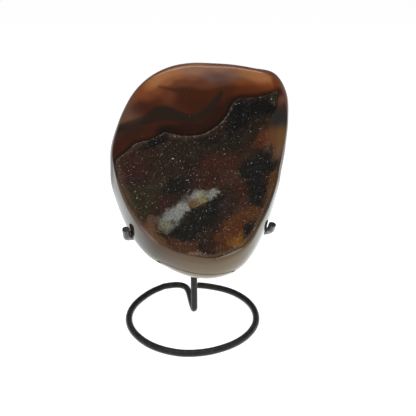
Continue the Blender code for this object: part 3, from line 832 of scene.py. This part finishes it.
def raise_points(bm, cells, clear):
    """A crystal's point raised on every cell, with a few clear facets among them."""
    points = bmesh.ops.poke(bm, faces=cells)
    for face in points["faces"]:
        calm = CALM_SHARE * rise(face.calc_center_median().x / MM, *CALM_RISE)
        clearness = random.uniform(*CLEARNESS)
        face[clear] = clearness if random.random() < CLEAR_SHARE * (1.0 - calm) else 0.0
    for tip in points["verts"]:
        tip.co.z += CRYSTAL * random.uniform(*TIP_HEIGHTS)
        tip.co.x += CRYSTAL * random.uniform(-TIP_STRAY, TIP_STRAY)
        tip.co.y += CRYSTAL * random.uniform(-TIP_STRAY, TIP_STRAY)


def white_share(u, v, white_gap):
    """How much of the white line shows at a point: it is ragged, and faint at both ends."""
    middle = rise(u, *LINE_MIDDLE_RISE)
    strength = LINE_STRENGTH + LINE_MIDDLE_STRENGTH * middle + ripple(u, v, LINE_FLOW)
    strength *= 1.0 - LINE_FADE * rise(u, *LINE_FADE_RISE)
    half = ripple(u, v, LINE_RAGS) + LINE_HALF_MM + LINE_MIDDLE_HALF_MM * middle
    return strength * soft_step((half - white_gap) / LINE_BLUR_MM)


def druse_colour(u, v, white_gap, edge_gap):
    """Stain of the crystals at a point of the face."""
    rim = soft_step((RIM_WIDTH_MM - edge_gap) / RIM_WIDTH_MM) * soft_step(-u / RIM_START_MM)
    colour = STONE_TONES["cocoa"].lerp(STONE_TONES["druse_rim"], RIM_SHARE * rim)
    aside = stray(u, v, DRUSE_STRAY)
    colour = patched(u + aside.x, v + aside.y, colour, DRUSE_PATCHES, DRUSE_BLUR)
    fray = stray(u, v, PALE_FRAY)
    colour = patched(u + fray.x, v + fray.y, colour, PALE_PATCHES, PALE_BLUR)
    colour *= 1.0 + ripple(u, v, DRUSE_CLOUDS)
    colour = banded(u, v, colour, DRUSE_BANDS)
    return colour.lerp(STONE_TONES["white_line"], white_share(u, v, white_gap))


def druse_crust(material):
    """The crust: thousands of small crystal points in the pocket."""
    random.seed(CRYSTAL_SEED)
    bm = druse_sheet()
    clear = bm.faces.layers.float.new("clear")
    edge_tree = point_tree(druse_outline(FINE_STEPS))
    white_tree = point_tree(white_line(FINE_STEPS))
    lay_bed(bm, edge_tree)
    cells = bm.faces[:]
    close_bed(bm)
    raise_points(bm, cells, clear)
    bmesh.ops.recalc_face_normals(bm, faces=bm.faces[:])
    mesh = mesh_of(bm, "druse_points")
    colours = []
    for vert in mesh.vertices:
        u, v = vert.co.x / MM, vert.co.y / MM
        white_gap = white_tree.find((u, v, 0.0))[2]
        edge_gap = edge_tree.find((u, v, 0.0))[2]
        colours.append(druse_colour(u, v, white_gap, edge_gap) * random.uniform(*SPECKLE))
    paint(mesh, colours)
    mesh.transform(ON_FACE)
    piece = new_piece("druse_points", mesh, material)
    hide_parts("druse_crust")


# The stand

def ring_radius(angle_deg):
    """The hand-bent ring's radius at an angle: nearly round, wider where it turns in."""
    for (first, r0), (last, r1) in zip(RING_RADII_MM, RING_RADII_MM[1:]):
        if angle_deg >= last:
            t = (first - angle_deg) / (first - last)
            return (r0 + (r1 - r0) * t) * MM
    return RING_RADII_MM[-1][1] * MM


def stone_surface(stone):
    """The stone's outside, ready for rays."""
    bm = bmesh.new()
    bm.from_mesh(stone.data)
    tree = BVHTree.FromBMesh(bm)
    bm.free()
    return tree


def beside(surface, point):
    """The point itself, or where a wire's middle has to be for the wire to clear the stone."""
    near, normal = surface.find_nearest(point)[:2]
    room = point - near
    reach = WIRE_RADIUS + WIRE_CLEARANCE
    if room.dot(normal) < 0 or room.length < reach:
        return near + normal * reach
    return point


def base_path(surface):
    """The ring from its free end, the run to the middle, the stem and the back rest."""
    ring = []
    for angle_deg in range(RING_RADII_MM[0][0], RING_RADII_MM[-1][0], -RING_STEP):
        angle = math.radians(angle_deg)
        ring.append(Vector((math.cos(angle), math.sin(angle), 0.0)) * ring_radius(angle_deg))
    run = smooth_through([Vector((*p, 0.0)) * MM for p in RUN_TO_STEM_MM], RUN_STEPS)
    flat = [p + Vector((0.0, 0.0, WIRE_RADIUS)) for p in ring + run]
    foot = Vector((STEM_X, STEM_Y, WIRE_RADIUS))
    inward = (foot - flat[-1]).normalized()
    bend = []
    for k in range(BEND_STEPS + 1):
        turn = math.pi / 2 * k / BEND_STEPS
        corner = foot - inward * STEM_BEND
        bend.append(corner + inward * STEM_BEND * math.sin(turn)
                    + Vector((0.0, 0.0, STEM_BEND * (1 - math.cos(turn)))))
    stem = [Vector((STEM_X, STEM_Y, z)) for z in (STEM_LOW, STEM_TOP)]
    stem += [Vector((STEM_X, y * MM, z * MM)) for y, z in REST_MM]
    placed = [p + STAND_MIDDLE for p in flat + bend]
    return placed + [beside(surface, p + STAND_MIDDLE) for p in smooth_through(stem, STEM_STEPS)]


def bow_path(surface):
    """The cross bow: round the back of the stone and out into a hook on each side."""
    hug = []
    middle = BOW_MIDDLE + STAND_MIDDLE
    back = Vector((0.0, math.cos(BOW_SLOPE), -math.sin(BOW_SLOPE)))
    across = Vector((1.0, 0.0, BOW_ROLL))
    for turn_deg in range(-BOW_REACH, BOW_REACH + 1, BOW_TURN):
        turn = math.radians(turn_deg)
        out = across * math.sin(turn) + back * math.cos(turn)
        hug.append(surface.ray_cast(middle + out * BOW_SEARCH, -out)[0])
    left = [Vector(p) * MM + STAND_MIDDLE for p in reversed(LEFT_HOOK_MM)]
    right = [Vector(p) * MM + STAND_MIDDLE for p in RIGHT_HOOK_MM]
    return [beside(surface, p) for p in smooth_through(left + hug + right, BOW_STEPS)]


def round_wire(name, points):
    """The mesh of a round wire along some points, with flat ends."""
    curve = bpy.data.curves.new(name, "CURVE")
    curve.dimensions = "3D"
    curve.twist_mode = "MINIMUM"
    curve.bevel_depth = WIRE_RADIUS
    curve.bevel_resolution = WIRE_ROUNDNESS
    curve.use_fill_caps = True
    spline = curve.splines.new("POLY")
    spline.points.add(len(points) - 1)
    for spline_point, place in zip(spline.points, points):
        spline_point.co = (*place, 1.0)
    helper = in_scene(name + "_line", curve)
    mesh = shown_mesh(helper)
    bpy.data.objects.remove(helper)
    return mesh


def bent_wire(name, points, material, node):
    """A round bent wire with its cut ends eased."""
    mesh = round_wire(name, points)
    bm = bmesh.new()
    bm.from_mesh(mesh)
    bmesh.ops.remove_doubles(bm, verts=bm.verts[:], dist=SAME_PLACE)
    caps = [face for face in bm.faces if len(face.verts) > 4]
    rims = [edge for cap in caps for edge in cap.edges]
    bmesh.ops.bevel(bm, geom=rims, offset=CUT_EASE, segments=2, profile=0.5, affect="EDGES",
                    material=-1)
    bmesh.ops.recalc_face_normals(bm, faces=bm.faces[:])
    for face in bm.faces:
        face.smooth = True
    bm.to_mesh(mesh)
    bm.free()
    mesh.set_sharp_from_angle(angle=WIRE_CREASE)
    piece = new_piece(name, mesh, material)
    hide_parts(node)


def weld_bead(stem, bow, material):
    """The bead of weld that joins the cross bow to the stem, where the two wires touch."""
    pairs = ((p, q) for p in stem for q in bow)
    first, second = min(pairs, key=lambda pair: (pair[0] - pair[1]).length)
    middle = (first + second) / 2
    bm = bmesh.new()
    bmesh.ops.create_icosphere(bm, subdivisions=4, radius=1.0)
    for vert in bm.verts:
        uneven = 1.0 + BEAD_UNEVEN * noise.noise(vert.co * BEAD_LUMPS)
        bulge = Vector([part * half for part, half in zip(vert.co, BEAD_HALVES)])
        vert.co = middle + bulge * uneven
    for face in bm.faces:
        face.smooth = True
    new_piece("weld_bead", mesh_of(bm, "weld_bead"), material)


# Finishes: noise scales are per metre, and a range turns values between its first pair into values
# between its second

NOISE_WIDE = (0.3, 0.7)
NOISE_CORE = (0.35, 0.65)
UNIT = (0.0, 1.0)
FACE_PLANE = FACE_MIDDLE.dot(FACE_NORMAL)
GROWTH_BEND_SCALE = 45.0
GROWTH_BEND_MM = 5.0
GROWTH_SCALE = 0.9
GROWTH_TINT = (NOISE_WIDE, (0.7, 1.3))
GROWTH_SHARE = ((FACE_PLANE - 12 * MM, FACE_PLANE - 2 * MM), (0.9, 0.04))
# Painted shade beside the crystals' upper edge: gap in millimetres, and how strongly it darkens
EDGE_SHADE = ((0.4, 3.4), (0.85, 0.0))
DUST_SCALE = 210.0
DUST = ((0.04, 0.08), (0.4, 0.0))
POLISH_SCALE = 120.0
POLISH = (NOISE_WIDE, (0.045, 0.085))
WAVINESS_SCALE = 70.0
WAVINESS = (0.05, 1.0 * MM)
AGATE_IOR = 1.54
GRAIN_SCALE = 1400.0
GRAIN_TINT = (NOISE_WIDE, (0.8, 1.2))
FROST_SCALE = 2600.0
FROST = (NOISE_CORE, (0.22, 0.36))
CLEAR_FROST = (UNIT, (1.0, 0.3))
CLEAR_SPECULAR = (UNIT, (0.045, 1.0))
CLEAR_IOR = (UNIT, (1.55, 3.0))
WEAR_SCALE = 260.0
WEAR = (NOISE_CORE, UNIT)
BLACKENING = (0.014, 0.014, 0.013, 1.0)
WORN_BLACKENING = (0.028, 0.027, 0.024, 1.0)
SATIN_SCALE = 700.0
SATIN = (NOISE_WIDE, (0.32, 0.52))
SATIN_RELIEF = (0.12, 0.1 * MM)
STAND_GLOSS = 0.16
HOOK_GLOSS = 0.5


def finish_nodes(name):
    """A new material with its nodes, links and shader."""
    material = bpy.data.materials.new(name)
    material.use_nodes = True
    tree = material.node_tree
    return material, tree.nodes, tree.links, tree.nodes["Principled BSDF"]


def feed(links, value, socket):
    """Link an output to a socket, or set the socket to a number or colour."""
    if isinstance(value, bpy.types.NodeSocket):
        links.new(value, socket)
    else:
        socket.default_value = value


def attribute(nodes, name, output):
    """A value or colour stored on the mesh."""
    node = nodes.new("ShaderNodeAttribute")
    node.attribute_name = name
    return node.outputs[output]


def object_place(nodes):
    """Where a point is, as the object itself measures it."""
    return nodes.new("ShaderNodeTexCoord").outputs["Object"]


def clouds(nodes, links, scale, detail=3.0):
    """Soft noise over the object's own place."""
    node = nodes.new("ShaderNodeTexNoise")
    node.inputs["Scale"].default_value = scale
    node.inputs["Detail"].default_value = detail
    links.new(object_place(nodes), node.inputs["Vector"])
    return node.outputs["Fac"]


def blend(nodes, links, mode, first, second, factor=1.0):
    """Two colours mixed by a factor."""
    node = nodes.new("ShaderNodeMix")
    node.data_type = "RGBA"
    node.blend_type = mode
    for name, value in (("Factor_Float", factor), ("A_Color", first), ("B_Color", second)):
        feed(links, value, next(item for item in node.inputs if item.identifier == name))
    return next(item for item in node.outputs if item.identifier == "Result_Color")


def between(nodes, links, first, second, factor):
    """A number between two others: the first for a factor of 0 and the second for 1."""
    node = nodes.new("ShaderNodeMix")
    for name, value in (("A", first), ("B", second), ("Factor", factor)):
        feed(links, value, node.inputs[name])
    return node.outputs["Result"]


def ranged(nodes, links, output, source, target, smooth=False):
    """An output turned from one range of values into another."""
    node = nodes.new("ShaderNodeMapRange")
    node.interpolation_type = "SMOOTHSTEP" if smooth else "LINEAR"
    for name, value in zip(("From Min", "From Max", "To Min", "To Max"), source + target):
        node.inputs[name].default_value = value
    links.new(output, node.inputs["Value"])
    return node.outputs[0]


def sum_up(nodes, links, operation, *values):
    """Arithmetic over outputs and numbers."""
    node = nodes.new("ShaderNodeMath")
    node.operation = operation
    for socket, value in zip(node.inputs, values):
        feed(links, value, socket)
    return node.outputs[0]


def parts_of(nodes, links, place):
    """X, Y and Z of a place."""
    split = nodes.new("ShaderNodeSeparateXYZ")
    links.new(place, split.inputs[0])
    return split.outputs


def bumped(nodes, links, shader, height, strength, distance):
    """Relief on a shader from a height."""
    bump = nodes.new("ShaderNodeBump")
    bump.inputs["Strength"].default_value = strength
    bump.inputs["Distance"].default_value = distance
    links.new(height, bump.inputs["Height"])
    links.new(bump.outputs["Normal"], shader.inputs["Normal"])


def growth_lines(nodes, links, gap):
    """A tint in fine growth lines that follow the crystals' edge."""
    bend = clouds(nodes, links, GROWTH_BEND_SCALE)
    lines = nodes.new("ShaderNodeTexNoise")
    lines.noise_dimensions = "1D"
    lines.inputs["Scale"].default_value = GROWTH_SCALE
    lines.inputs["Detail"].default_value = 4.0
    links.new(sum_up(nodes, links, "MULTIPLY_ADD", bend, GROWTH_BEND_MM, gap), lines.inputs["W"])
    return ranged(nodes, links, lines.outputs["Fac"], *GROWTH_TINT)


def height_over_face(nodes, links):
    """How far out a point lies, across the face."""
    height = nodes.new("ShaderNodeVectorMath")
    height.operation = "DOT_PRODUCT"
    height.inputs[1].default_value = FACE_NORMAL
    links.new(object_place(nodes), height.inputs[0])
    return height.outputs["Value"]


def dust_specks(nodes, links):
    """Single specks of dust, as a share of their colour."""
    dust = nodes.new("ShaderNodeTexVoronoi")
    dust.inputs["Scale"].default_value = DUST_SCALE
    links.new(object_place(nodes), dust.inputs["Vector"])
    return ranged(nodes, links, dust.outputs["Distance"], *DUST)


def polished_agate():
    """Glossy stone: stains and painted light, fine growth lines, painted shade at the crystals'
    edge, dust.
    """
    material, nodes, links, shader = finish_nodes("polished_agate")
    gap = attribute(nodes, "line_gap", "Fac")
    tint = growth_lines(nodes, links, gap)
    share = ranged(nodes, links, height_over_face(nodes, links), *GROWTH_SHARE, smooth=True)
    colour = blend(nodes, links, "MULTIPLY", attribute(nodes, "stain_and_painted_light", "Color"), tint, share)
    # Painted shade: darker towards a near-black brown close to the crystals' upper edge
    edge_shade = ranged(nodes, links, gap, *EDGE_SHADE, smooth=True)
    colour = blend(nodes, links, "MIX", colour, (*STONE_TONES["line_shadow"], 1.0), edge_shade)
    speck = dust_specks(nodes, links)
    colour = blend(nodes, links, "MIX", colour, (*STONE_TONES["back_tan"], 1.0), speck)
    links.new(colour, shader.inputs["Base Color"])
    sheen = ranged(nodes, links, clouds(nodes, links, POLISH_SCALE), *POLISH)
    links.new(sheen, shader.inputs["Roughness"])
    bumped(nodes, links, shader, clouds(nodes, links, WAVINESS_SCALE, 1.0), *WAVINESS)
    shader.inputs["IOR"].default_value = AGATE_IOR
    return material


def quartz_druse():
    """Small glassy crystals, stained from the mesh, some clearer and some frosted."""
    material, nodes, links, shader = finish_nodes("quartz_druse")
    tint = ranged(nodes, links, clouds(nodes, links, GRAIN_SCALE), *GRAIN_TINT)
    colour = blend(nodes, links, "MULTIPLY", attribute(nodes, "stain_and_painted_light", "Color"), tint)
    links.new(colour, shader.inputs["Base Color"])
    clear = attribute(nodes, "clear", "Fac")
    frost = ranged(nodes, links, clouds(nodes, links, FROST_SCALE), *FROST)
    bright = ranged(nodes, links, clear, *CLEAR_FROST)
    links.new(sum_up(nodes, links, "MULTIPLY", frost, bright), shader.inputs["Roughness"])
    specular = ranged(nodes, links, clear, *CLEAR_SPECULAR)
    links.new(specular, shader.inputs["Specular IOR Level"])
    links.new(ranged(nodes, links, clear, *CLEAR_IOR), shader.inputs["IOR"])
    return material


def blackened_wire(name, gloss):
    """Steel wire with a thin satin black finish, a little worn and dusty."""
    material, nodes, links, shader = finish_nodes(name)
    wear = ranged(nodes, links, clouds(nodes, links, WEAR_SCALE, 5.0), *WEAR)
    colour = blend(nodes, links, "MIX", BLACKENING, WORN_BLACKENING, wear)
    links.new(colour, shader.inputs["Base Color"])
    satin = clouds(nodes, links, SATIN_SCALE, 4.0)
    links.new(ranged(nodes, links, satin, *SATIN), shader.inputs["Roughness"])
    shader.inputs["Specular IOR Level"].default_value = gloss
    bumped(nodes, links, shader, satin, *SATIN_RELIEF)
    return material


# The studio

COOL_WHITE = (0.95, 1.0, 0.98, 1.0)
WHITE = (1.0, 1.0, 1.0, 1.0)
TABLE_GREY = (0.3, 0.3, 0.3, 1.0)
TABLE_HALF = 6.0
TABLE_ROUGHNESS = 0.9
# The table's glow, as it is seen and as the polish mirrors it: by how far aside, and how far back
SEEN_GLOW = 0.97
LEFT_SHIFT = 0.03
SIDE_GLOW = ((0.03, 0.2), (1.95, 5.2))
FRONT_GLOW = ((-0.2, -0.07), (0.03, 1.0))
BACK_GLOW = ((-0.02, 0.2), (1.0, 0.18))
FAR_GLOW = ((0.0, 0.15), (0.0, 0.8))
# The room's light by direction, and what of it the polish mirrors
ROOM_BEHIND = ((-0.35, 0.05), (0.0, 0.07))
ROOM_ABOVE = ((0.42, 0.54), (0.005, 0.055))
WALL_BEHIND = ((-0.2, 0.4), (0.0, 0.45))
WALL_FADE = ((0.1, 0.6), (1.0, 0.3))
MIRRORED_MOST = 0.045
# Square lamps: place, watts, and whether they are for gloss alone or for all but gloss
LAMP_SIZE = 0.7
LAMP_AIM = Vector((0.0, 0.0, 0.1))
LAMPS = (
    ("left_lamp", (-0.6, -0.5, 0.85), 7.5, False),
    ("right_lamp", (0.6, -0.5, 0.85), 7.5, False),
    ("left_glint", (-0.6, -0.5, 0.85), 3.6, True),
    ("right_glint", (0.6, -0.5, 0.85), 3.6, True),
    ("top_glint", (0.0, -0.2, 0.95), 3.6, True))
CAMERA_PLACE = Vector((-5.098, -338.881, 214.24)) * MM
CAMERA_TURN = (math.radians(68.331), 0.0, math.radians(-1.798))
LENS_MM = 50.70
SENSOR_MM = 36.0
NEAREST = 0.01


def table_finish():
    """Pale, with a glow of its own: bright at both sides and dimmer in front, as the polish mirrors
    it.
    """
    material, nodes, links, shader = finish_nodes("pale_table")
    shader.inputs["Base Color"].default_value = TABLE_GREY
    shader.inputs["Roughness"].default_value = TABLE_ROUGHNESS
    shader.inputs["Specular IOR Level"].default_value = 0.0
    place = parts_of(nodes, links, object_place(nodes))
    aside = sum_up(nodes, links, "ABSOLUTE", sum_up(nodes, links, "ADD", place["X"], LEFT_SHIFT))
    side = ranged(nodes, links, aside, *SIDE_GLOW, smooth=True)
    front = ranged(nodes, links, place["Y"], *FRONT_GLOW)
    back = ranged(nodes, links, place["Y"], *BACK_GLOW)
    pool = sum_up(nodes, links, "MULTIPLY", side, sum_up(nodes, links, "MULTIPLY", front, back))
    far = ranged(nodes, links, place["Y"], *FAR_GLOW)
    mirrored = sum_up(nodes, links, "MAXIMUM", pool, far)
    glossy = nodes.new("ShaderNodeLightPath").outputs["Is Glossy Ray"]
    glow = between(nodes, links, SEEN_GLOW, mirrored, glossy)
    links.new(glow, shader.inputs["Emission Strength"])
    tint = blend(nodes, links, "MIX", WHITE, COOL_WHITE, glossy)
    links.new(tint, shader.inputs["Emission Color"])
    return material


def table():
    """The pale table that the stand is on."""
    bm = bmesh.new()
    bmesh.ops.create_grid(bm, x_segments=1, y_segments=1, size=TABLE_HALF)
    mesh = mesh_of(bm, "table")
    mesh.materials.append(table_finish())
    floor = in_scene("table", mesh)


def surroundings():
    """A white room for the camera, with soft dim light behind, at the sides and overhead."""
    world = bpy.data.worlds.new("studio")
    bpy.context.scene.world = world
    world.use_nodes = True
    nodes, links = world.node_tree.nodes, world.node_tree.links
    way = parts_of(nodes, links, nodes.new("ShaderNodeTexCoord").outputs["Generated"])
    behind = ranged(nodes, links, way["Y"], *ROOM_BEHIND, smooth=True)
    above = ranged(nodes, links, way["Z"], *ROOM_ABOVE, smooth=True)
    light = sum_up(nodes, links, "MAXIMUM", behind, above)
    wall = ranged(nodes, links, way["Y"], *WALL_BEHIND, smooth=True)
    fade = ranged(nodes, links, way["Z"], *WALL_FADE)
    wall = sum_up(nodes, links, "MULTIPLY", wall, fade)
    low = sum_up(nodes, links, "MINIMUM", light, MIRRORED_MOST)
    shine = sum_up(nodes, links, "MAXIMUM", wall, low)
    ray = nodes.new("ShaderNodeLightPath")
    glossy = ray.outputs["Is Glossy Ray"]
    lit = between(nodes, links, light, shine, glossy)
    strength = between(nodes, links, lit, 1.0, ray.outputs["Is Camera Ray"])
    links.new(strength, nodes["Background"].inputs["Strength"])
    tint = blend(nodes, links, "MIX", WHITE, COOL_WHITE, glossy)
    links.new(tint, nodes["Background"].inputs["Color"])


def lamps():
    """Square lamps above: two light the stone, and dimmer ones are there for its gloss alone."""
    for name, place, watts, gloss in LAMPS:
        lamp = bpy.data.lights.new(name, "AREA")
        lamp.energy = watts
        lamp.size = LAMP_SIZE
        holder = in_scene(name, lamp)
        holder.location = place
        holder.visible_glossy = gloss
        holder.visible_diffuse = not gloss
        holder.rotation_euler = (LAMP_AIM - Vector(place)).to_track_quat("-Z", "Y").to_euler()


def camera():
    """The photograph's view: a little above the stone, looking down at the stand."""
    lens = bpy.data.cameras.new("camera")
    lens.lens = LENS_MM
    lens.sensor_width = SENSOR_MM
    lens.clip_start = NEAREST
    holder = in_scene("camera", lens)
    holder.location = CAMERA_PLACE
    holder.rotation_euler = CAMERA_TURN
    bpy.context.scene.camera = holder


def main():
    """The stone, its stand and the studio."""
    bpy.context.scene.view_settings.view_transform = "Standard"
    noise.seed_set(STAIN_SEED)
    stone = agate_stone(polished_agate())
    druse_crust(quartz_druse())
    surface = stone_surface(stone)
    wire = blackened_wire("blackened_wire", STAND_GLOSS)
    handled = blackened_wire("handled_wire", HOOK_GLOSS)
    stem, bow = base_path(surface), bow_path(surface)
    bent_wire("stand_wire", stem, wire, "base_wire")
    bent_wire("hook_wire", bow, handled, "cradle_wire")
    weld_bead(stem, bow, wire)
    table()
    surroundings()
    lamps()
    camera()


main()
